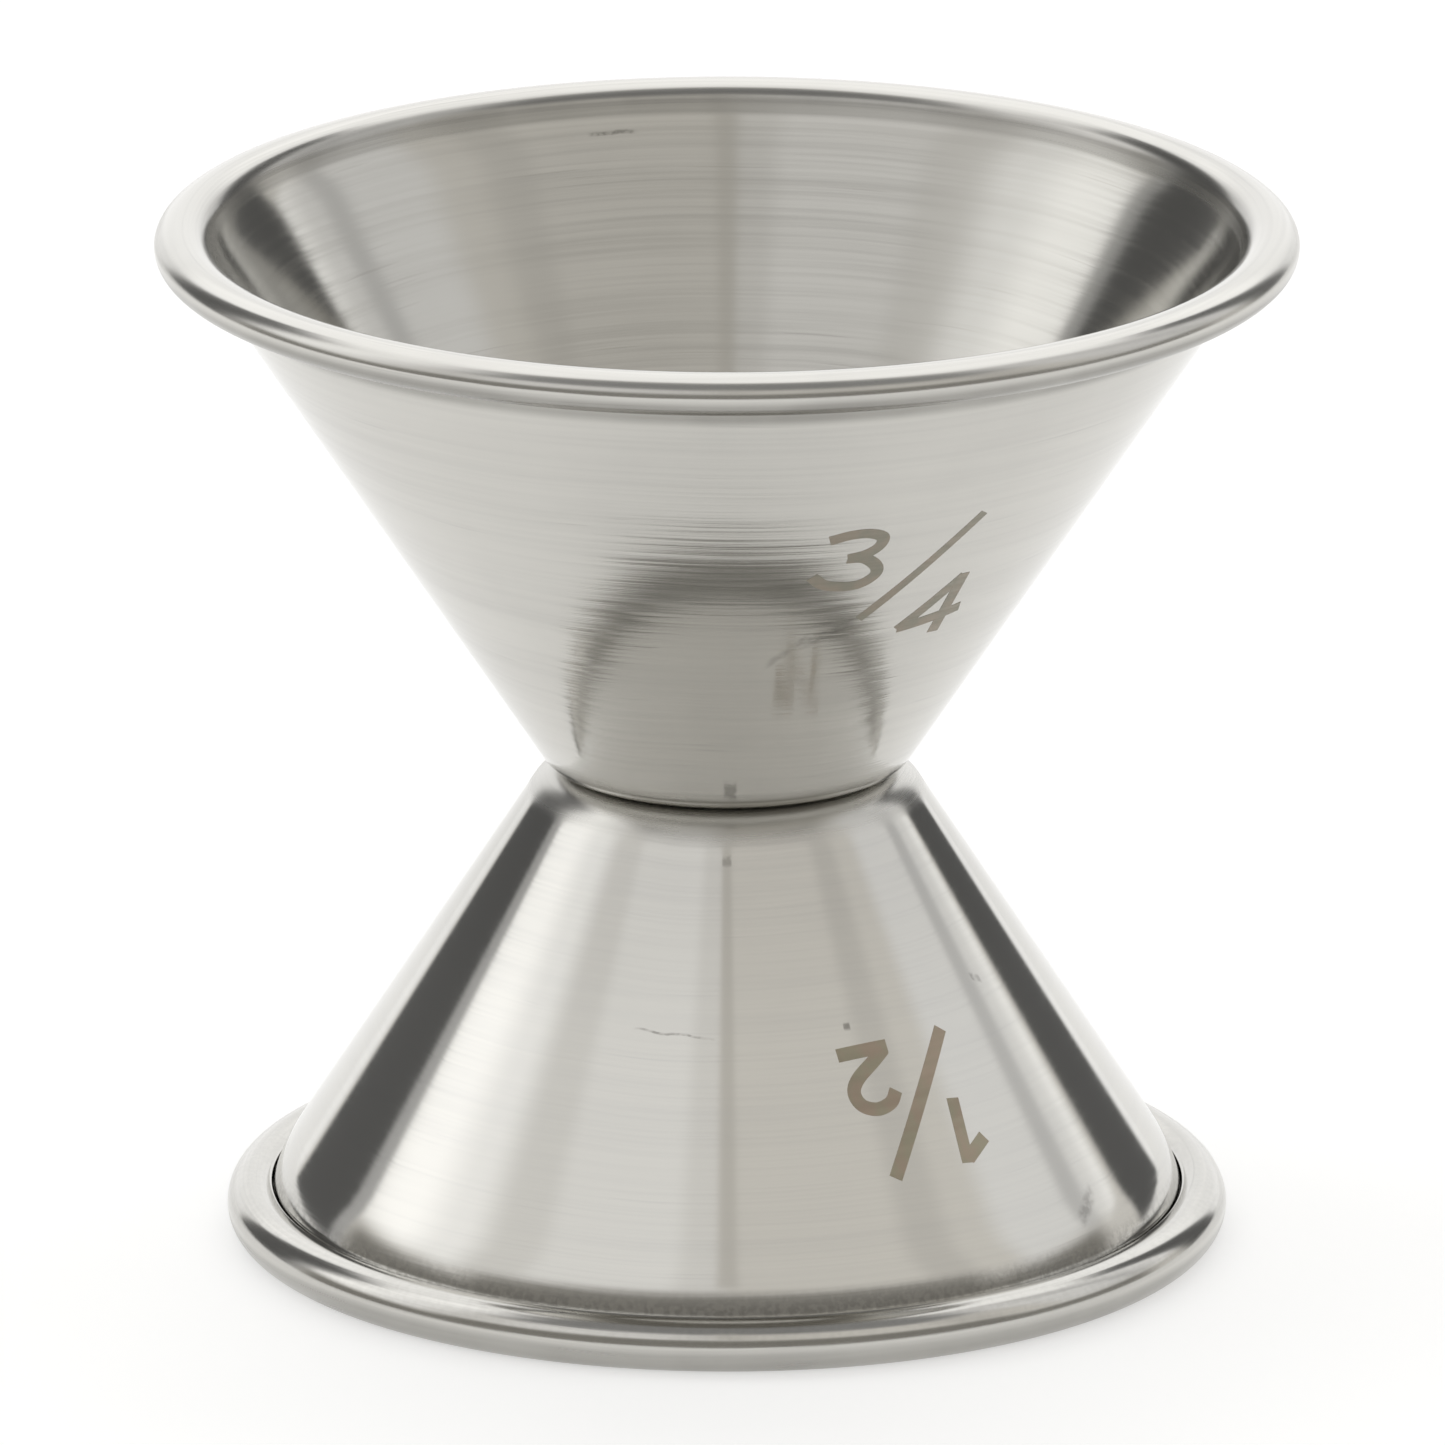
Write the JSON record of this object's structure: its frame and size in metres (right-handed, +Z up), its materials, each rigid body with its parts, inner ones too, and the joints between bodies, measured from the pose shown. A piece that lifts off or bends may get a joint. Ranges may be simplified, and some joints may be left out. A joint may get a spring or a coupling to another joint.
{
  "type": "bar jigger",
  "caption": "Double-ended conical spirit measure for a bar: two steel cups of different measures welded closed end to closed end, with rolled rims.",
  "frame": {"origin": "centre of the lower rim, on the surface the jigger stands on", "axes": "+Z up along the common axis of both cups, from the smaller cup to the larger; -Y towards the viewer, with the measure marks just to the right of it"},
  "size_m": [0.052, 0.052, 0.0477],
  "materials": {
    "brushed_steel": "satin, brushed round the axis inside and outside",
    "polished_steel": "bright, finely brushed round the axis",
    "weld_metal": "dull, as solidified",
    "etched_mark": "dark matt oxide, etched into the steel"
  },
  "bodies": {
    "root": {"upper_cup": "brushed_steel", "lower_cup": "polished_steel", "weld_nugget_1": "weld_metal", "weld_nugget_2": "weld_metal", "weld_nugget_3": "weld_metal"}
  },
  "joints": []
}
